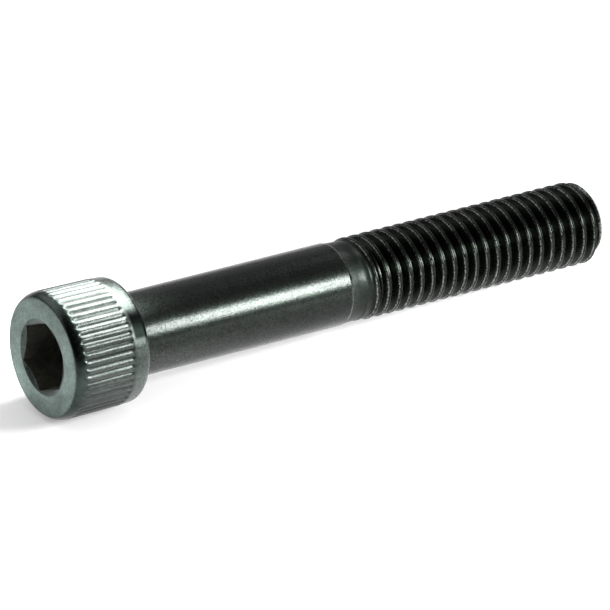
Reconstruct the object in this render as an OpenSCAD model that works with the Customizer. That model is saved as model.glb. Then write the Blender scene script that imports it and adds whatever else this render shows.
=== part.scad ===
// Hex socket head cap screw, one forged and rolled piece of blackened steel, in millimetres.
// It is built along its own axis, with the front of the head at 0 and the point along +Z.
// It is then laid on its side, where the rear edge of the head and the last full thread
// touch the ground, so its axis slopes down a little towards the point.

/* [Head] */
// Diameter of the head behind its rounded front edge
head_d = 18.85; // [17:0.05:24]
// Diameter of the head in front of its rounded rear edge
head_back_d = 18.55; // [17:0.05:21]
// Height of the head
head_h = 12.7; // [11:0.1:18]
// Radius of the front edge
front_round = 1; // [0.4:0.1:1.6]
// Radius of the rear edge
rear_round = 1; // [0.4:0.1:1.8]

/* [Knurl] */
// Number of straight ridges around the head
ridge_count = 48; // [36:1:60]
// Turn of the ridges about the axis of the screw
ridge_turn = 2.5; // [0:0.5:7]
// Depth of the grooves between the ridges
groove_depth = 0.24; // [0.15:0.01:0.5]
// Width of a groove at the surface of the head
groove_w = 0.9; // [0.5:0.05:1]
// Smooth length of the head in front of the grooves
front_band = 1.2; // [0.5:0.1:3]
// Smooth length of the head behind the grooves
rear_band = 3; // [2:0.1:4]

/* [Socket] */
// Width of the hexagon across its flats
socket_af = 9.525; // [7:0.005:10]
// Depth of the hexagon from the front of the head
socket_depth = 6.5; // [5:0.1:8]
// How far the countersink reaches past the corners of the hexagon
mouth_margin = 0.21; // [0.05:0.01:0.5]
// Included angle of the countersink
mouth_angle = 136; // [90:1:150]
// Turn of the hexagon about the axis of the screw
socket_turn = 6; // [0:1:59]
// How far the round hole at the bottom stays inside the flats
drill_margin = 0.05; // [0.02:0.01:0.5]
// Included angle of the cone at the bottom of the socket
bottom_angle = 118; // [90:1:150]

/* [Shank] */
// Diameter of the plain shank
shank_d = 12.3; // [12:0.05:14]
// Length of the screw under its head
under_head = 82.55; // [60:0.05:120]
// Radius of the fillet between the shank and the head
fillet = 0.6; // [0.2:0.1:1.2]
// Length of the bevel at the end of the shank
bevel = 1.6; // [0.2:0.1:2]
// Diameter of the neck between the shank and the thread
neck_d = 11.8; // [11.2:0.1:12]
// Length of the neck behind the bevel
neck_length = 1.1; // [0.4:0.1:3]

/* [Thread] */
// Diameter over the crests of the thread
thread_d = 12.4; // [12.3:0.05:13]
// Distance from one crest to the next
pitch = 1.954; // [1.5:0.002:2.2]
// Length from the end of the neck to the point
thread_length = 43; // [20:0.1:50]
// Depth of the thread from crest to root
thread_depth = 1.198; // [0.9:0.001:1.25]
// Width of the flat on a crest
crest_w = 0.26; // [0.15:0.01:0.4]
// Width of the flat at a root
root_w = 0.34; // [0.15:0.01:0.5]
// Length over which the first crests rise out of the neck
crest_runout = 0.8; // [0.5:0.1:4]
// Length over which the first roots reach their depth
root_runout = 4.5; // [1:0.1:8]
// Turn of the thread about the axis of the screw
thread_turn = 50; // [0:0.5:359.5]
// Diameter of the flat end
point_d = 9.8; // [8:0.1:10]
// Length of the chamfer at the point
point_length = 1.3; // [0.8:0.1:3]

/* [Hidden] */

// Points around a curve, and steps around one turn of the thread
$fn = 96;
thread_steps = 24;
// Overlap of solids that are joined, and reach of a cutter past what it cuts
join = 0.4;
past = 1;

head_r = head_d / 2;
head_back_r = head_back_d / 2;
shank_r = shank_d / 2;
neck_r = neck_d / 2;
thread_r = thread_d / 2;
root_r = thread_r - thread_depth;
point_r = point_d / 2;

// Places along the axis, from the front of the head
tip_z = head_h + under_head;
neck_end_z = tip_z - thread_length;
shank_end_z = neck_end_z - neck_length - bevel;

// Hexagon and its countersink
socket_corner_r = socket_af / sqrt(3);
mouth_r = socket_corner_r + mouth_margin;
mouth_slope = 1 / tan(mouth_angle / 2);
drill_r = socket_af / 2 - drill_margin;
drill_depth = drill_r / tan(bottom_angle / 2);

// One pitch of the thread as [share of the pitch, radius, length of its runout],
// from the start of a root flat
flank_w = (pitch - crest_w - root_w) / 2;
profile = [
    [0, root_r, root_runout],
    [root_w / pitch, root_r, root_runout],
    [(root_w + flank_w) / pitch, thread_r, crest_runout],
    [(root_w + flank_w + crest_w) / pitch, thread_r, crest_runout]
];
// The helix starts inside the neck and ends past the point, where both ends are lost
helix_start = neck_end_z - pitch - join;
helix_turns = ceil((tip_z + past - helix_start) / pitch) + 1;
rows = helix_turns * len(profile);
helix_end = helix_start + (helix_turns + 2) * pitch;
helix_neck_r = neck_r - 0.05;

// Place of the last crest that the chamfer leaves whole on the lower side
full_z = tip_z - point_length * (thread_r - root_r) / (thread_r - point_r);
crest_share = (root_w + flank_w + crest_w / 2) / pitch;
low_share = (360 - thread_turn) / 360 + crest_share;
last_crest_z = helix_start + pitch * (floor((full_z - helix_start) / pitch - low_share) + low_share);

// Lean of the axis when the rear edge of the head and the last whole crest touch the ground
rim_z = head_h - rear_round;
rim_r = head_back_r - rear_round;
reach = last_crest_z - rim_z;
drop = rim_r - thread_r;
lean = atan2(drop, reach) + asin(rear_round / norm([reach, drop]));
lift = rim_z * sin(lean) + rim_r * cos(lean) + rear_round;
low_x = front_round * cos(lean) - (head_r - front_round) * sin(lean) - front_round;
high_x = tip_z * cos(lean) + point_r * sin(lean);

// Share of the full thread form at a height, from 0 at the neck to 1 past the runout
function rise(z, runout) = max(0, min(1, (z - neck_end_z) / runout));

// Height of a point of the helix by column around the axis and row along it
function helix_z(column, row) = helix_start + pitch * (
    floor(row / len(profile)) + profile[row % len(profile)][0] + column / thread_steps);

// Radius there, from just inside the neck to the full form of the thread
function helix_r(row, z) = let (form = profile[row % len(profile)])
    helix_neck_r + (form[1] - helix_neck_r) * rise(z, form[2]);

function helix_point(column, row) = let (
        z = helix_z(column, row),
        r = helix_r(row, z),
        turn = 360 * column / thread_steps + thread_turn)
    [r * cos(turn), r * sin(turn), z];

// Index of a point, where the column after the last is the first one a whole turn higher
function helix_index(column, row) = column < thread_steps
    ? column * (rows + 1) + row
    : row + len(profile);

// Solid of revolution of the head, with round edges
module head_form() {
    rotate_extrude() {
        polygon([
            [0, 0],
            [head_r - front_round, 0],
            [head_r, front_round],
            [head_back_r, head_h - rear_round],
            [head_back_r - rear_round, head_h],
            [0, head_h]
        ]);
        translate([head_r - front_round, front_round]) circle(front_round);
        translate([head_back_r - rear_round, head_h - rear_round]) circle(rear_round);
    }
}

// V-shaped grooves along the side of the head, between its two smooth bands
module grooves() {
    outer_r = head_r + past;
    half_w = groove_w / 2 * (past + groove_depth) / groove_depth;
    for (i = [0 : ridge_count - 1])
        rotate([0, 0, 360 * (i + 0.5) / ridge_count + ridge_turn])
            translate([0, 0, front_band])
                linear_extrude(head_h - front_band - rear_band)
                    polygon([
                        [head_r - groove_depth, 0],
                        [outer_r, -half_w],
                        [outer_r, half_w]
                    ]);
}

// Hexagonal socket with a countersunk mouth and a conical bottom
module socket() {
    rotate([0, 0, socket_turn])
        translate([0, 0, -past])
            cylinder(r = socket_corner_r, h = socket_depth + past, $fn = 6);
    translate([0, 0, -past])
        cylinder(r1 = mouth_r + past / mouth_slope, r2 = 0, h = past + mouth_r * mouth_slope);
    translate([0, 0, socket_depth - join])
        cylinder(r = drill_r, h = join);
    translate([0, 0, socket_depth])
        cylinder(r1 = drill_r, r2 = 0, h = drill_depth);
}

// Plain shank with its fillet, its bevelled end and the neck
module shank() {
    rotate_extrude()
        polygon([
            [0, head_h - join],
            [shank_r, head_h - join],
            [shank_r, shank_end_z],
            [neck_r, shank_end_z + bevel],
            [neck_r, neck_end_z],
            [0, neck_end_z]
        ]);
    translate([0, 0, head_h])
        rotate_extrude()
            difference() {
                translate([shank_r - join, -join]) square(fillet + join);
                translate([shank_r + fillet, fillet]) circle(fillet);
            }
}

// Right-hand thread, one closed surface wound from columns of points around the axis
module helix() {
    last = thread_steps - 1;
    points = [
        for (column = [0 : last]) for (row = [0 : rows]) helix_point(column, row),
        [0, 0, helix_start - pitch],
        [0, 0, helix_end]
    ];
    low_centre = len(points) - 2;
    high_centre = len(points) - 1;
    rows_of_last = rows - len(profile);
    faces = [
        for (column = [0 : last])
            for (row = [0 : (column == last ? rows_of_last : rows) - 1])
                [
                    helix_index(column, row),
                    helix_index(column, row + 1),
                    helix_index(column + 1, row + 1),
                    helix_index(column + 1, row)
                ],
        for (column = [0 : last])
            [low_centre, helix_index(column, 0), helix_index(column + 1, 0)],
        for (row = [0 : len(profile) - 1])
            [low_centre, helix_index(0, row + 1), helix_index(0, row)],
        for (column = [0 : last - 1])
            [high_centre, helix_index(column + 1, rows), helix_index(column, rows)],
        [high_centre, helix_index(0, rows), helix_index(last, rows_of_last)],
        for (row = [rows_of_last : rows - 1])
            [high_centre, helix_index(last, row), helix_index(last, row + 1)]
    ];
    polyhedron(points, faces);
}

// Cutter that leaves the flat end and the chamfer of the point
module point_cutter() {
    outer_r = thread_r + past;
    slope = point_length / (thread_r - point_r);
    rotate_extrude()
        polygon([
            [0, tip_z],
            [point_r, tip_z],
            [outer_r, tip_z - slope * (outer_r - point_r)],
            [outer_r, helix_end + past],
            [0, helix_end + past]
        ]);
}

// The whole screw along its own axis
module screw() {
    difference() {
        head_form();
        grooves();
        socket();
    }
    shank();
    difference() {
        helix();
        point_cutter();
    }
}

module cap_screw() {
    color("darkslategray")
        translate([-(low_x + high_x) / 2, 0, lift])
            rotate([0, 90 + lean, 0])
                screw();
}

cap_screw();
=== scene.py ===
"""The looks of the hex socket cap screw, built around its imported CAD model."""
import bpy
import math
import numpy as np
from mathutils import Matrix, Vector


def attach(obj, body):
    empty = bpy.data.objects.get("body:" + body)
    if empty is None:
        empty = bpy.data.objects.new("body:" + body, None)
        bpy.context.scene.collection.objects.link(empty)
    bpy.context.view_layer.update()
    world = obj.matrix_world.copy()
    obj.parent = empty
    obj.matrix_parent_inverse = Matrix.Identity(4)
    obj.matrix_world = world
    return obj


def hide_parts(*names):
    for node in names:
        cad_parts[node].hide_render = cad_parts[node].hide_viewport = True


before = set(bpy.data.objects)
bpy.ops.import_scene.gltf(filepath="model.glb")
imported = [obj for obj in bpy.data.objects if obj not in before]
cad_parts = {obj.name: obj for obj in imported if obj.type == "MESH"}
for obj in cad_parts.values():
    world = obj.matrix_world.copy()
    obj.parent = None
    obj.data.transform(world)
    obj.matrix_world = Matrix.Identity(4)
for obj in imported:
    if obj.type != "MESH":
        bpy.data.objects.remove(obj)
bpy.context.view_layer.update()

MM = 0.001

# Sizes of the screw in millimetres and degrees, the same as in the part's source
HEAD_R = 18.85 / 2
HEAD_BACK_R = 18.55 / 2
HEAD_H = 12.7
FRONT_ROUND = 1.0
REAR_ROUND = 1.0
RIDGE_COUNT = 48
RIDGE_TURN = 2.5
GROOVE_DEPTH = 0.24
FRONT_BAND = 1.2
REAR_BAND = 3.0
SOCKET_AF = 9.525
SOCKET_DEPTH = 6.5
MOUTH_MARGIN = 0.21
MOUTH_ANGLE = 136.0
SOCKET_TURN = 6.0
DRILL_MARGIN = 0.05
BOTTOM_ANGLE = 118.0
SHANK_R = 12.3 / 2
UNDER_HEAD = 82.55
FILLET = 0.6
BEVEL = 1.6
NECK_R = 11.8 / 2
NECK_LENGTH = 1.1
THREAD_R = 12.4 / 2
PITCH = 1.954
THREAD_LENGTH = 43.0
THREAD_DEPTH = 1.198
CREST_W = 0.26
ROOT_W = 0.34
CREST_RUNOUT = 0.8
ROOT_RUNOUT = 4.5
THREAD_TURN = 50.0
POINT_R = 9.8 / 2
POINT_LENGTH = 1.3
JOIN = 0.4

# Details finer than the source has: the rounding of a ridge, how far the front edge's curve
# reaches along the side, the slope where the rear band ends, and the rounding of the thread
RIDGE_SHAPE = 1.8
FRONT_REACH = 2.2
REAR_SLOPE = math.radians(3)
THREAD_ROUNDING = 0.04
# Length behind the front band over which the grooves reach their depth
GROOVE_FADE = 0.7
# Largest difference in height between the ridges, and spread of the small unevenness of ridges
# and crests
RIDGE_SPREAD = 0.03
UNEVENNESS = 0.006

# How worn the places are where bare steel shows, from 0 to 1: the ridges of the head, the line
# along the crests, which is also a painted highlight, the chamfer of the point and the edge of its
# flat end
RIDGE_WEAR = 0.08
CREST_WEAR_AND_HIGHLIGHT = 0.8
CHAMFER_WEAR = 0.7
END_WEAR = 0.2

# Places along the axis, from the front of the head
TIP_Z = HEAD_H + UNDER_HEAD
NECK_END_Z = TIP_Z - THREAD_LENGTH
SHANK_END_Z = NECK_END_Z - NECK_LENGTH - BEVEL
ROOT_R = THREAD_R - THREAD_DEPTH
FLANK_W = (PITCH - CREST_W - ROOT_W) / 2
HELIX_START = NECK_END_Z - PITCH - JOIN
MOUTH_R = SOCKET_AF / math.sqrt(3) + MOUTH_MARGIN

# Strength of the even light, then of what reflections show: the dark room, its lighter right side,
# the white wall behind and the brighter part above that wall
SOFT_LEVEL = 0.8
ROOM_LEVEL = 0.015
DUSK_LEVEL = 0.45
WALL_LEVEL = 1.0
SKY_LEVEL = 2.0
# Strength that the floor adds where it is seen, directly or mirrored
FLOOR_GLOW = 0.25

# Finishes of the steel as red, green and blue, then roughness, then share of the oily film
# The face's tone, lighter than the side's, is painted light: it stands for the brighter light the
# face catches
FACE_WITH_PAINTED_LIGHT = np.array((0.150, 0.198, 0.181, 0.36, 0.0))
ROUND = np.array((0.033, 0.043, 0.039, 0.24, 0.0))
MOUTH = np.array((0.056, 0.073, 0.066, 0.36, 0.0))
SOCKET = np.array((0.17, 0.17, 0.145, 0.45, 0.0))
SIDE = np.array((0.029, 0.035, 0.032, 0.38, 0.15))
REAR = np.array((0.043, 0.053, 0.048, 0.28, 0.1))
# Painted shade: a darker rear finish on the side towards the camera, dimming the highlight the rear
# band shows there
REAR_PAINTED_SHADE = np.array((0.002, 0.003, 0.0025, 0.34, 0.0))
SHANK = np.array((0.0065, 0.0095, 0.0075, 0.28, 0.28))
NECK = np.array((0.0115, 0.016, 0.013, 0.45, 0.1))
THREAD = np.array((0.0075, 0.0098, 0.0075, 0.28, 0.08))
# Colours of bare steel and of the floor
BARE_STEEL = (0.46, 0.48, 0.465, 1.0)
PAPER = (0.75, 0.75, 0.75, 1.0)
WHITE = (1.0, 1.0, 1.0, 1.0)
# Degrees up from the camera's side at which the painted shade on the rear band starts and ends
PAINTED_SHADE_START = (18, 26)
PAINTED_SHADE_END = (44, 54)

# Fineness of the mesh: points around each part, and steps along the front and the rear edge
RIDGE_COLUMNS = 12
SOCKET_COLUMNS = 192
SHANK_COLUMNS = 192
HEAD_COLUMNS = RIDGE_COUNT * RIDGE_COLUMNS
FRONT_STEPS = 15
REAR_STEPS = 12
FILLET_STEPS = 6
# Angle between two faces from which their edge looks sharp
SHARP_ANGLE = math.radians(34)

# Half of the floor's side in metres
FLOOR_HALF = 3.0

# Direction of the wall behind the screw
WALL_DIRECTION = (0.35, 0.94, 0.0)

# The camera: its place in metres, where it looks in degrees, its lens and its sensor in millimetres
CAMERA_PLACE = (-0.603161, -0.868564, 0.506583)
CAMERA_HEADING = math.radians(55.322)
CAMERA_ELEVATION = math.radians(25.371)
CAMERA_LENS = 476.5
CAMERA_SENSOR = 36.0


def rest_pose():
    """The turn and shift that lay the screw on its head and last full crest."""
    full_z = TIP_Z - POINT_LENGTH * THREAD_DEPTH / (THREAD_R - POINT_R)
    crest_share = (ROOT_W + FLANK_W + CREST_W / 2) / PITCH
    low_share = (360 - THREAD_TURN) / 360 + crest_share
    turns = math.floor((full_z - HELIX_START) / PITCH - low_share)
    last_crest_z = HELIX_START + PITCH * (turns + low_share)
    rim_z = HEAD_H - REAR_ROUND
    rim_r = HEAD_BACK_R - REAR_ROUND
    reach = last_crest_z - rim_z
    drop = rim_r - THREAD_R
    lean = math.atan2(drop, reach) + math.asin(REAR_ROUND / math.hypot(reach, drop))
    lift = rim_z * math.sin(lean) + rim_r * math.cos(lean) + REAR_ROUND
    low_x = FRONT_ROUND * math.cos(lean) - (HEAD_R - FRONT_ROUND) * math.sin(lean) - FRONT_ROUND
    high_x = TIP_Z * math.cos(lean) + POINT_R * math.sin(lean)
    shift = Matrix.Translation((-(low_x + high_x) / 2 * MM, 0, lift * MM))
    return shift @ Matrix.Rotation(math.pi / 2 + lean, 4, "Y") @ Matrix.Scale(MM, 4)


class Skin:
    """Rings of points around the axis, and the faces between them.

    Every point also carries its finish and how worn it is, which the material reads.
    """

    def __init__(self):
        self.points = []
        self.finishes = []
        self.wear = []
        self.faces = []

    def add(self, x, y, z, finish, worn=0.0):
        self.points.append((x, y, z))
        self.finishes.append(finish)
        self.wear.append(worn)
        return len(self.points) - 1

    def ring(self, angles, radii, depths, finish, worn=0.0):
        radii = np.broadcast_to(radii, angles.shape)
        depths = np.broadcast_to(depths, angles.shape)
        worn = np.broadcast_to(worn, angles.shape)
        finishes = np.broadcast_to(finish, (len(angles), 5))
        return [
            self.add(r * math.cos(a), r * math.sin(a), z, f, w)
            for a, r, z, f, w in zip(angles, radii, depths, finishes, worn)
        ]

    def face(self, corners):
        kept = []
        for corner in corners:
            if corner not in kept:
                kept.append(corner)
        if len(kept) > 2:
            self.faces.append(kept)

    def strip(self, low, high):
        """Faces between two rings with as many points each."""
        count = len(low)
        for i in range(count):
            j = (i + 1) % count
            self.face((low[i], low[j], high[j], high[i]))

    def fan(self, ring, centre, outward):
        count = len(ring)
        for i in range(count):
            j = (i + 1) % count
            self.face((ring[i], ring[j], centre) if outward else (ring[j], ring[i], centre))

    def zip_rings(self, low, low_angles, high, high_angles):
        """Triangles between two rings on one plane that differ in their number of points."""
        low_count, high_count = len(low), len(high)
        shift = int(np.argmin(np.abs(wrapped(high_angles - low_angles[0]))))
        high = high[shift:] + high[:shift]
        high_angles = np.roll(high_angles, -shift)
        low_steps = wrapped(low_angles - low_angles[0]) % (2 * math.pi)
        high_steps = unrolled(high_angles, low_angles[0])
        i = j = 0
        while i < low_count or j < high_count:
            next_low = low_steps[i + 1] if i + 1 < low_count else 2 * math.pi
            next_high = high_steps[j + 1] if j + 1 < high_count else high_steps[0] + 2 * math.pi
            if j >= high_count or (i < low_count and next_low <= next_high):
                self.face((low[i], low[(i + 1) % low_count], high[j % high_count]))
                i += 1
            else:
                self.face((low[i % low_count], high[(j + 1) % high_count], high[j]))
                j += 1


def wrapped(angles):
    return (angles + math.pi) % (2 * math.pi) - math.pi


def unrolled(angles, start):
    """Angles that rise all the way round, the first one close to the start."""
    first = wrapped(angles[0] - start)
    return first + (angles - angles[0]) % (2 * math.pi)


def turn_angles(count, start):
    return math.radians(start) + np.arange(count) * 2 * math.pi / count


def blend(first, second, share):
    return first + (second - first) * share


def smooth_step(value, low, high):
    t = np.clip((value - low) / (high - low), 0, 1)
    return t * t * (3 - 2 * t)


def hex_radius(angles):
    """Distance from the axis to the flats of the hexagon, whose corners start at its turn."""
    side = (angles - math.radians(SOCKET_TURN)) % (math.pi / 3)
    return SOCKET_AF / 2 / np.cos(side - math.pi / 6)


def build_socket(skin):
    """The socket from its cone bottom up to the countersunk mouth. Returns its last ring."""
    angles = turn_angles(SOCKET_COLUMNS, SOCKET_TURN)
    drill_r = SOCKET_AF / 2 - DRILL_MARGIN
    drill_depth = drill_r / math.tan(math.radians(BOTTOM_ANGLE / 2))
    hexagon = hex_radius(angles)
    slope = 1 / math.tan(math.radians(MOUTH_ANGLE / 2))
    sink = (MOUTH_R - hexagon) * slope
    centre = skin.add(0, 0, SOCKET_DEPTH + drill_depth, SOCKET)
    rings = [
        skin.ring(angles, drill_r, SOCKET_DEPTH, SOCKET),
        skin.ring(angles, hexagon, SOCKET_DEPTH, SOCKET),
        skin.ring(angles, hexagon, sink + 0.2, SOCKET),
        skin.ring(angles, hexagon, sink + 0.04, blend(SOCKET, MOUTH, 0.4)),
        skin.ring(angles, hexagon + 0.04, sink - 0.04 * slope, MOUTH),
        skin.ring(angles, MOUTH_R - 0.07, 0.07 * slope, MOUTH),
        skin.ring(angles, MOUTH_R + 0.02, 0.005, FACE_WITH_PAINTED_LIGHT),
        skin.ring(angles, MOUTH_R + 0.1, 0, FACE_WITH_PAINTED_LIGHT),
    ]
    skin.fan(rings[0], centre, outward=False)
    for low, high in zip(rings, rings[1:]):
        skin.strip(low, high)
    return rings[-1], angles


def ridge_depth(angles):
    """Share of the groove's depth around the head, from 0 on a ridge to 1 in a groove."""
    turn = (angles - math.radians(RIDGE_TURN)) / (2 * math.pi) * RIDGE_COUNT
    off = np.abs((turn + 0.5) % 1 - 0.5)
    return (2 * off) ** RIDGE_SHAPE


def rear_finishes_with_painted_shade(angles):
    """Finish around the rear band, with painted shade on the side towards the camera."""
    turn = np.degrees(wrapped(-math.pi / 2 - angles))
    share = smooth_step(turn, *PAINTED_SHADE_START) * (1 - smooth_step(turn, *PAINTED_SHADE_END))
    return blend(REAR, REAR_PAINTED_SHADE, share[:, None])


def side_radius(z):
    """Radius of the head's side, which tapers a little towards the rear."""
    share = (z - FRONT_ROUND) / (HEAD_H - REAR_ROUND - FRONT_ROUND)
    return HEAD_R + (HEAD_BACK_R - HEAD_R) * share


def build_head(skin, mouth, mouth_angles):
    """The face, the ridged side and the bearing face. Returns the last ring of the head."""
    angles = turn_angles(HEAD_COLUMNS, RIDGE_TURN)
    grooves = ridge_depth(angles)
    random = np.random.default_rng(7)
    ridge_level = random.uniform(0, RIDGE_SPREAD, RIDGE_COUNT)
    column_level = np.repeat(ridge_level, RIDGE_COLUMNS)
    column_level = np.roll(column_level, -RIDGE_COLUMNS // 2)

    inner_r = HEAD_R - FRONT_ROUND
    rings = [skin.ring(angles, inner_r - 0.25, 0, FACE_WITH_PAINTED_LIGHT), skin.ring(angles, inner_r - 0.02, 0, FACE_WITH_PAINTED_LIGHT)]
    for step in range(1, FRONT_STEPS):
        turn = math.pi / 2 * step / FRONT_STEPS
        z = FRONT_REACH * (1 - math.cos(turn))
        r = min(inner_r + FRONT_ROUND * math.sin(turn), side_radius(z))
        reach = smooth_step(z, FRONT_BAND, FRONT_BAND + GROOVE_FADE)
        finish = blend(blend(FACE_WITH_PAINTED_LIGHT, ROUND, smooth_step(step, 0, 4)), SIDE, reach)
        rings.append(skin.ring(angles, r - reach * GROOVE_DEPTH * grooves, z, finish))

    groove_end = HEAD_H - REAR_BAND
    heights = np.concatenate([
        [FRONT_REACH, FRONT_REACH + 0.2],
        np.arange(FRONT_REACH + 0.6, groove_end - 0.9, 0.6),
        np.arange(groove_end - 0.6, groove_end + 0.25, 0.1),
    ])
    for z in heights:
        reach = smooth_step(z, FRONT_BAND, FRONT_BAND + GROOVE_FADE)
        reach = reach * (1 - smooth_step(z, groove_end - 0.4, groove_end + 0.2))
        wobble = random.normal(0, UNEVENNESS, HEAD_COLUMNS) * reach
        r = side_radius(z) - reach * (GROOVE_DEPTH * grooves + column_level) - np.abs(wobble)
        worn = RIDGE_WEAR * reach * np.clip(1 - 2 * grooves, 0, 1)
        rings.append(skin.ring(angles, r, z, SIDE, worn))

    # The rear band's finish, with its painted shade on the side towards the camera
    rear = rear_finishes_with_painted_shade(angles)
    band_z = groove_end + 0.25
    band_end_z = HEAD_H - REAR_ROUND * (1 - math.sin(REAR_SLOPE))
    band_drop = math.tan(REAR_SLOPE) * (band_end_z - band_z)
    for share in (0.2, 0.4, 0.6, 0.8, 1.0):
        z = band_z + (band_end_z - band_z) * share
        rings.append(skin.ring(angles, side_radius(z) - band_drop * share, z, rear))
    back_r = side_radius(band_end_z) - band_drop - REAR_ROUND * math.cos(REAR_SLOPE)
    for step in range(1, REAR_STEPS):
        turn = REAR_SLOPE + (math.pi / 2 - REAR_SLOPE) * step / REAR_STEPS
        r = back_r + REAR_ROUND * math.cos(turn)
        z = HEAD_H - REAR_ROUND * (1 - math.sin(turn))
        rings.append(skin.ring(angles, r, z, rear))
    rings.append(skin.ring(angles, back_r, HEAD_H, SIDE))
    rings.append(skin.ring(angles, back_r - 0.3, HEAD_H, SIDE))

    skin.zip_rings(mouth, mouth_angles, rings[0], angles)
    for low, high in zip(rings, rings[1:]):
        skin.strip(low, high)
    return rings[-1], angles


def build_shank(skin, head_ring, head_angles):
    """The fillet, the plain shank, its shoulder and the neck. Returns the neck's last ring."""
    angles = turn_angles(SHANK_COLUMNS, THREAD_TURN)
    rings = [skin.ring(angles, SHANK_R + FILLET + 0.1, HEAD_H, blend(SHANK, SIDE, 0.6))]
    for step in range(FILLET_STEPS + 1):
        turn = math.pi / 2 * step / FILLET_STEPS
        r = SHANK_R + FILLET * (1 - math.sin(turn))
        z = HEAD_H + FILLET * (1 - math.cos(turn))
        finish = blend(SHANK, SIDE, 0.6 * (1 - step / FILLET_STEPS))
        rings.append(skin.ring(angles, r, z, finish))
    for z in np.linspace(HEAD_H + FILLET + 0.4, SHANK_END_Z - 0.3, 24):
        rings.append(skin.ring(angles, SHANK_R, z, SHANK))
    # Radius, place along the axis and wear of each ring of the shoulder
    shoulder = [
        (SHANK_R, SHANK_END_Z - 0.12, 0.05),
        (SHANK_R - 0.01, SHANK_END_Z - 0.04, 0.2),
        (SHANK_R - 0.05, SHANK_END_Z + 0.04, 0.25),
        (SHANK_R - 0.1, SHANK_END_Z + 0.12, 0.1),
        (SHANK_R - 0.12, SHANK_END_Z + 0.3, 0.05),
        (NECK_R + 0.015, SHANK_END_Z + BEVEL - 0.1, 0.0),
        (NECK_R, SHANK_END_Z + BEVEL + 0.15, 0.0),
        (NECK_R, NECK_END_Z - 0.3, 0.0),
        (NECK_R, NECK_END_Z, 0.0),
    ]
    for r, z, worn in shoulder:
        finish = NECK if z > SHANK_END_Z + 0.2 else SHANK
        rings.append(skin.ring(angles, r, z, finish, worn))
    skin.zip_rings(head_ring, head_angles, rings[0], angles)
    for low, high in zip(rings, rings[1:]):
        skin.strip(low, high)
    return rings[-1], angles


def thread_form(place):
    """Share of the thread's height at a place along one pitch, with rounded corners."""
    soften = np.linspace(-THREAD_ROUNDING, THREAD_ROUNDING, 5)
    corners = [0, ROOT_W, ROOT_W + FLANK_W, ROOT_W + FLANK_W + CREST_W, PITCH]
    levels = [0, 0, 1, 1, 0]
    return float(np.mean(np.interp((place + soften) % PITCH, corners, levels)))


def build_thread(skin, neck_ring, angles):
    """The helical thread from the neck to the chamfered point, and the flat end."""
    crest_mid = ROOT_W + FLANK_W + CREST_W / 2
    # The worn line along the crests sits on their corner towards the head; it is wear and also a
    # painted highlight
    worn_highlight_place = crest_mid - 0.23
    places = [
        0.06, ROOT_W / 2, ROOT_W - 0.06, ROOT_W + 0.1,
        crest_mid - 0.32, worn_highlight_place, crest_mid - 0.15, crest_mid, crest_mid + 0.15,
        crest_mid + CREST_W / 2 + FLANK_W / 2, PITCH - 0.1,
    ]
    forms = [thread_form(place) for place in places]
    worn_highlight_part = places.index(worn_highlight_place)
    turns = int(math.ceil((TIP_Z - HELIX_START) / PITCH)) + 2
    rows = turns * len(places)
    slope = (THREAD_R - POINT_R) / POINT_LENGTH
    random = np.random.default_rng(11)
    tip_ring = skin.ring(angles, POINT_R, TIP_Z, THREAD, END_WEAR)

    # Points of the helix by column around the axis and row along it
    table = []
    for column, angle in enumerate(angles):
        line = []
        for row in range(rows):
            turn, part = divmod(row, len(places))
            z = HELIX_START + PITCH * (turn - 1 + column / len(angles)) + places[part]
            if z <= NECK_END_Z:
                line.append(neck_ring[column])
                continue
            if z >= TIP_Z:
                line.append(tip_ring[column])
                continue
            form = forms[part]
            runout = ROOT_RUNOUT + (CREST_RUNOUT - ROOT_RUNOUT) * form
            rise = min(1, (z - NECK_END_Z) / runout)
            r = NECK_R + (ROOT_R + THREAD_DEPTH * form - NECK_R) * rise
            worn = CREST_WEAR_AND_HIGHLIGHT * rise if part == worn_highlight_part else 0.0
            if form > 0.9:
                r -= abs(random.normal(0, UNEVENNESS))
            chamfer = POINT_R + (TIP_Z - z) * slope
            if r > chamfer:
                r = chamfer
                worn = CHAMFER_WEAR
            finish = blend(NECK, THREAD, min(1, rise * 2))
            line.append(skin.add(r * math.cos(angle), r * math.sin(angle), z, finish, worn))
        table.append(line)

    for here, there in zip(table, table[1:]):
        for row in range(rows - 1):
            skin.face((here[row], there[row], there[row + 1], here[row + 1]))
    # After a whole turn the helix meets the first column one pitch higher
    here, there = table[-1], table[0]
    for row in range(rows - 1 - len(places)):
        up = row + len(places)
        skin.face((here[row], there[up], there[up + 1], here[row + 1]))

    inner = skin.ring(angles, POINT_R - 0.25, TIP_Z, SHANK)
    middle = skin.ring(angles, POINT_R * 0.5, TIP_Z, SHANK)
    skin.strip(tip_ring, inner)
    skin.strip(inner, middle)
    skin.fan(middle, skin.add(0, 0, TIP_Z, SHANK), outward=True)


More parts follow.
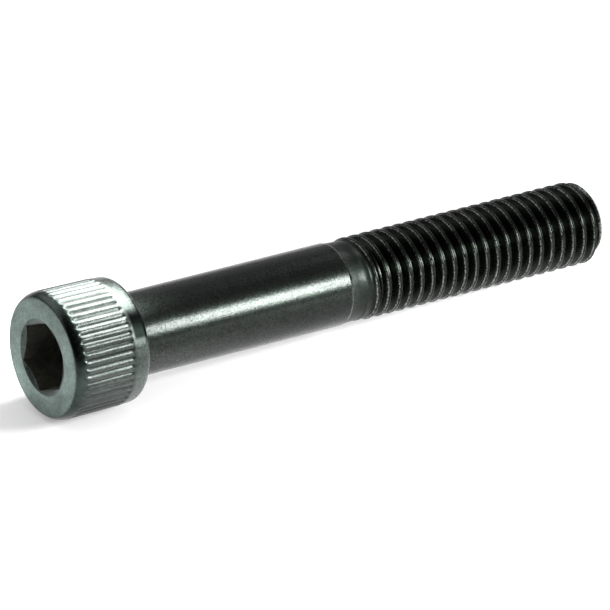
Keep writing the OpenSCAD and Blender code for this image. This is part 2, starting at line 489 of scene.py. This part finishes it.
def build_screw():
    """The whole screw as one mesh in its rest pose, with its finishes as attributes."""
    skin = Skin()
    mouth, mouth_angles = build_socket(skin)
    head_ring, head_angles = build_head(skin, mouth, mouth_angles)
    neck_ring, shank_angles = build_shank(skin, head_ring, head_angles)
    build_thread(skin, neck_ring, shank_angles)

    mesh = bpy.data.meshes.new("cap_screw_look")
    mesh.from_pydata(skin.points, [], skin.faces)
    finishes = np.array(skin.finishes, np.float32)
    glosses = np.column_stack((finishes[:, 3:], skin.wear)).astype(np.float32)
    tone = mesh.attributes.new("tone", "FLOAT_VECTOR", "POINT")
    tone.data.foreach_set("vector", finishes[:, :3].ravel())
    gloss = mesh.attributes.new("gloss", "FLOAT_VECTOR", "POINT")
    gloss.data.foreach_set("vector", glosses.ravel())
    mesh.validate()
    mesh.transform(rest_pose())
    mesh.polygons.foreach_set("use_smooth", [True] * len(mesh.polygons))
    mesh.set_sharp_from_angle(angle=SHARP_ANGLE)
    mesh.update()
    screw = bpy.data.objects.new("screw", mesh)
    bpy.context.scene.collection.objects.link(screw)
    return screw


class Nodes:
    """Short calls for making one node tree."""

    def __init__(self, tree):
        self.tree = tree
        tree.nodes.clear()

    def add(self, kind, **settings):
        node = self.tree.nodes.new(kind)
        for name, value in settings.items():
            setattr(node, name, value)
        return node

    def link(self, source, target):
        self.tree.links.new(source, target)

    def feed(self, socket, value):
        if isinstance(value, bpy.types.NodeSocket):
            self.link(value, socket)
        else:
            socket.default_value = value

    def math(self, operation, first, second=0.0, third=0.0):
        node = self.add("ShaderNodeMath", operation=operation)
        for socket, value in zip(node.inputs, (first, second, third)):
            self.feed(socket, value)
        return node.outputs[0]

    def fit(self, value, low, high, new_low=0.0, new_high=1.0):
        """A value carried from one range to another, and kept inside it."""
        node = self.add("ShaderNodeMapRange", clamp=True)
        for socket, item in zip(node.inputs[:5], (value, low, high, new_low, new_high)):
            self.feed(socket, item)
        return node.outputs[0]

    def mix(self, share, first, second):
        """A value between two others."""
        node = self.add("ShaderNodeMix", data_type="FLOAT")
        self.feed(node.inputs[0], share)
        self.feed(node.inputs[2], first)
        self.feed(node.inputs[3], second)
        return node.outputs[0]

    def mix_colours(self, share, first, second):
        node = self.add("ShaderNodeMix", data_type="RGBA")
        self.feed(node.inputs[0], share)
        self.feed(node.inputs[6], first)
        self.feed(node.inputs[7], second)
        return node.outputs[2]

    def scale(self, vector, size):
        node = self.add("ShaderNodeVectorMath", operation="SCALE")
        self.feed(node.inputs[0], vector)
        self.feed(node.inputs["Scale"], size)
        return node.outputs[0]

    def split(self, vector):
        node = self.add("ShaderNodeSeparateXYZ")
        self.link(vector, node.inputs[0])
        return node.outputs

    def noise(self, place, scale, detail, rough):
        node = self.add("ShaderNodeTexNoise")
        self.link(place, node.inputs["Vector"])
        node.inputs["Scale"].default_value = scale
        node.inputs["Detail"].default_value = detail
        node.inputs["Roughness"].default_value = rough
        return node.outputs["Fac"]


def oxide_material():
    """Blackened and oiled steel, with the finish of each place, and bare on worn edges, whose line
    along the crests is also a painted highlight.
    """
    material = bpy.data.materials.new("blackened_steel_look")
    material.use_nodes = True
    nodes = Nodes(material.node_tree)
    output = nodes.add("ShaderNodeOutputMaterial")
    shader = nodes.add("ShaderNodeBsdfPrincipled")
    nodes.link(shader.outputs[0], output.inputs["Surface"])

    # Places in millimetres
    place = nodes.scale(nodes.add("ShaderNodeTexCoord").outputs["Object"], 1 / MM)
    tone = nodes.add("ShaderNodeAttribute", attribute_name="tone").outputs["Vector"]
    gloss = nodes.add("ShaderNodeAttribute", attribute_name="gloss").outputs["Vector"]
    rough, film, worn = nodes.split(gloss)

    cloud = nodes.noise(place, 0.35, 5.0, 0.6)
    speckle = nodes.noise(place, 2.2, 3.0, 0.65)
    grain = nodes.noise(place, 4.5, 3.0, 0.7)

    shade = nodes.fit(cloud, 0.3, 0.7, 0.72, 1.28)
    shade = nodes.math("MULTIPLY", shade, nodes.fit(speckle, 0.3, 0.72, 0.8, 1.25))
    shade = nodes.math("MULTIPLY", shade, nodes.fit(grain, 0.3, 0.75, 0.75, 1.4))
    # Bare steel where worn; along the crests this lighter line is also a painted highlight
    chips = nodes.fit(grain, 0.42, 0.62, 0.0, 1.3)
    bare = nodes.math("MULTIPLY", worn, chips)
    bare = nodes.math("MULTIPLY", bare, 0.8)
    tone = nodes.mix_colours(bare, nodes.scale(tone, shade), BARE_STEEL)
    nodes.link(tone, shader.inputs["Base Color"])

    rough = nodes.math("ADD", rough, nodes.fit(speckle, 0.3, 0.7, -0.03, 0.04))
    nodes.link(rough, shader.inputs["Roughness"])
    film = nodes.math("MULTIPLY", film, nodes.fit(grain, 0.3, 0.7, 0.2, 2.0))
    nodes.link(film, shader.inputs["Coat Weight"])
    shader.inputs["Coat Roughness"].default_value = 0.21
    shader.inputs["Metallic"].default_value = 1.0

    bump = nodes.add("ShaderNodeBump")
    bump.inputs["Strength"].default_value = 0.5
    bump.inputs["Distance"].default_value = 0.000025
    height = nodes.math("MULTIPLY_ADD", grain, 0.5, speckle)
    nodes.link(height, bump.inputs["Height"])
    nodes.link(bump.outputs[0], shader.inputs["Normal"])
    nodes.link(bump.outputs[0], shader.inputs["Coat Normal"])
    return material


def build_floor():
    """A plain pale floor that looks white where it is seen and keeps the screw's shadow."""
    mesh = bpy.data.meshes.new("floor")
    signs = [(-1, -1), (1, -1), (1, 1), (-1, 1)]
    corners = [(x * FLOOR_HALF, y * FLOOR_HALF, 0) for x, y in signs]
    mesh.from_pydata(corners, [], [(0, 1, 2, 3)])
    floor = bpy.data.objects.new("floor", mesh)
    bpy.context.scene.collection.objects.link(floor)
    material = bpy.data.materials.new("pale_paper")
    material.use_nodes = True
    nodes = Nodes(material.node_tree)
    output = nodes.add("ShaderNodeOutputMaterial")
    paper = nodes.add("ShaderNodeBsdfDiffuse")
    paper.inputs["Color"].default_value = PAPER
    path = nodes.add("ShaderNodeLightPath")
    seen = nodes.math("ADD", path.outputs["Is Camera Ray"], path.outputs["Is Glossy Ray"])
    seen = nodes.math("ADD", seen, path.outputs["Is Transmission Ray"])
    glow = nodes.add("ShaderNodeEmission")
    nodes.link(nodes.math("MULTIPLY", seen, FLOOR_GLOW), glow.inputs["Strength"])
    both = nodes.add("ShaderNodeAddShader")
    nodes.link(paper.outputs[0], both.inputs[0])
    nodes.link(glow.outputs[0], both.inputs[1])
    nodes.link(both.outputs[0], output.inputs["Surface"])
    mesh.materials.append(material)


def build_world():
    """An even soft light, and what the metal mirrors: a white wall behind and a dim room in front."""
    world = bpy.data.worlds.new("studio")
    bpy.context.scene.world = world
    world.use_nodes = True
    nodes = Nodes(world.node_tree)
    output = nodes.add("ShaderNodeOutputWorld")
    direction = nodes.add("ShaderNodeTexCoord").outputs["Generated"]
    x, y, z = nodes.split(direction)
    behind = nodes.add("ShaderNodeVectorMath", operation="DOT_PRODUCT")
    nodes.link(direction, behind.inputs[0])
    behind.inputs[1].default_value = WALL_DIRECTION
    wall = nodes.fit(behind.outputs["Value"], 0.1, 0.6)
    wall = nodes.math("MULTIPLY", wall, nodes.fit(z, 0.05, 0.2, 1.0, 0.0))
    dusk = nodes.math("MULTIPLY", nodes.fit(x, 0.0, 0.5), nodes.fit(z, 0.1, 0.4))
    room = nodes.math("MULTIPLY_ADD", dusk, DUSK_LEVEL, ROOM_LEVEL)
    sky = nodes.math("MULTIPLY", nodes.fit(y, 0.0, 0.4), nodes.fit(z, 0.3, 0.6))
    sky = nodes.math("MULTIPLY", sky, nodes.fit(x, 0.0, 0.3, 1.0, 0.0))
    room = nodes.math("MULTIPLY_ADD", sky, SKY_LEVEL, room)
    mirrored = nodes.math("MULTIPLY_ADD", wall, WALL_LEVEL, room)

    path = nodes.add("ShaderNodeLightPath")
    gloss = nodes.math("ADD", path.outputs["Is Glossy Ray"], path.outputs["Is Transmission Ray"])
    level = nodes.mix(gloss, SOFT_LEVEL, mirrored)
    seen = nodes.mix(path.outputs["Is Camera Ray"], level, 1.0)
    background = nodes.add("ShaderNodeBackground")
    background.inputs["Color"].default_value = WHITE
    nodes.link(seen, background.inputs["Strength"])
    nodes.link(background.outputs[0], output.inputs["Surface"])


def build_lamp(name, place, target, long_side, short_side, radiance, spread=180):
    """A flat lamp with its long side along the screw, in metres. Its radiance sets its power."""
    light = bpy.data.lights.new(name, "AREA")
    light.shape = "RECTANGLE"
    light.size = long_side
    light.size_y = short_side
    light.energy = radiance * math.pi * long_side * short_side
    light.spread = math.radians(spread)
    lamp = bpy.data.objects.new(name, light)
    bpy.context.scene.collection.objects.link(lamp)
    back = (Vector(place) - Vector(target)).normalized()
    along = Vector((1, 0, 0))
    along = (along - along.dot(back) * back).normalized()
    up = back.cross(along)
    turn = Matrix((along, up, back)).transposed().to_4x4()
    lamp.matrix_world = Matrix.Translation(place) @ turn
    lamp.visible_camera = False


def build_camera():
    """The photograph's view: a long lens that looks down a little from in front of the head."""
    forward = Vector((
        math.cos(CAMERA_HEADING) * math.cos(CAMERA_ELEVATION),
        math.sin(CAMERA_HEADING) * math.cos(CAMERA_ELEVATION),
        -math.sin(CAMERA_ELEVATION),
    ))
    right = Vector((math.sin(CAMERA_HEADING), -math.cos(CAMERA_HEADING), 0))
    up = right.cross(forward)
    data = bpy.data.cameras.new("camera")
    data.sensor_width = CAMERA_SENSOR
    data.lens = CAMERA_LENS
    data.clip_start = 0.01
    data.clip_end = 20.0
    camera = bpy.data.objects.new("camera", data)
    bpy.context.scene.collection.objects.link(camera)
    turn = Matrix((right, up, -forward)).transposed().to_4x4()
    camera.matrix_world = Matrix.Translation(CAMERA_PLACE) @ turn
    bpy.context.scene.camera = camera


bpy.context.scene.view_settings.view_transform = "Standard"
build_camera()
build_floor()
build_world()
build_lamp("window", (0.067, -0.1122, 0.064), (-0.0153, 0, 0.0085), 0.046, 0.046, 66.0)
build_lamp("side", Vector((0.715, 0.24, 0.655)) * 0.6, (0, 0, 0.009), 0.12, 0.2, 4.0)
build_lamp("panel", (-0.033, 0.0032, 0.030), (-0.033, 0.0032, 0), 0.0155, 0.0256, 21.0, spread=130)

screw = build_screw()
screw.data.materials.append(oxide_material())
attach(screw, "root")
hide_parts("cap_screw")
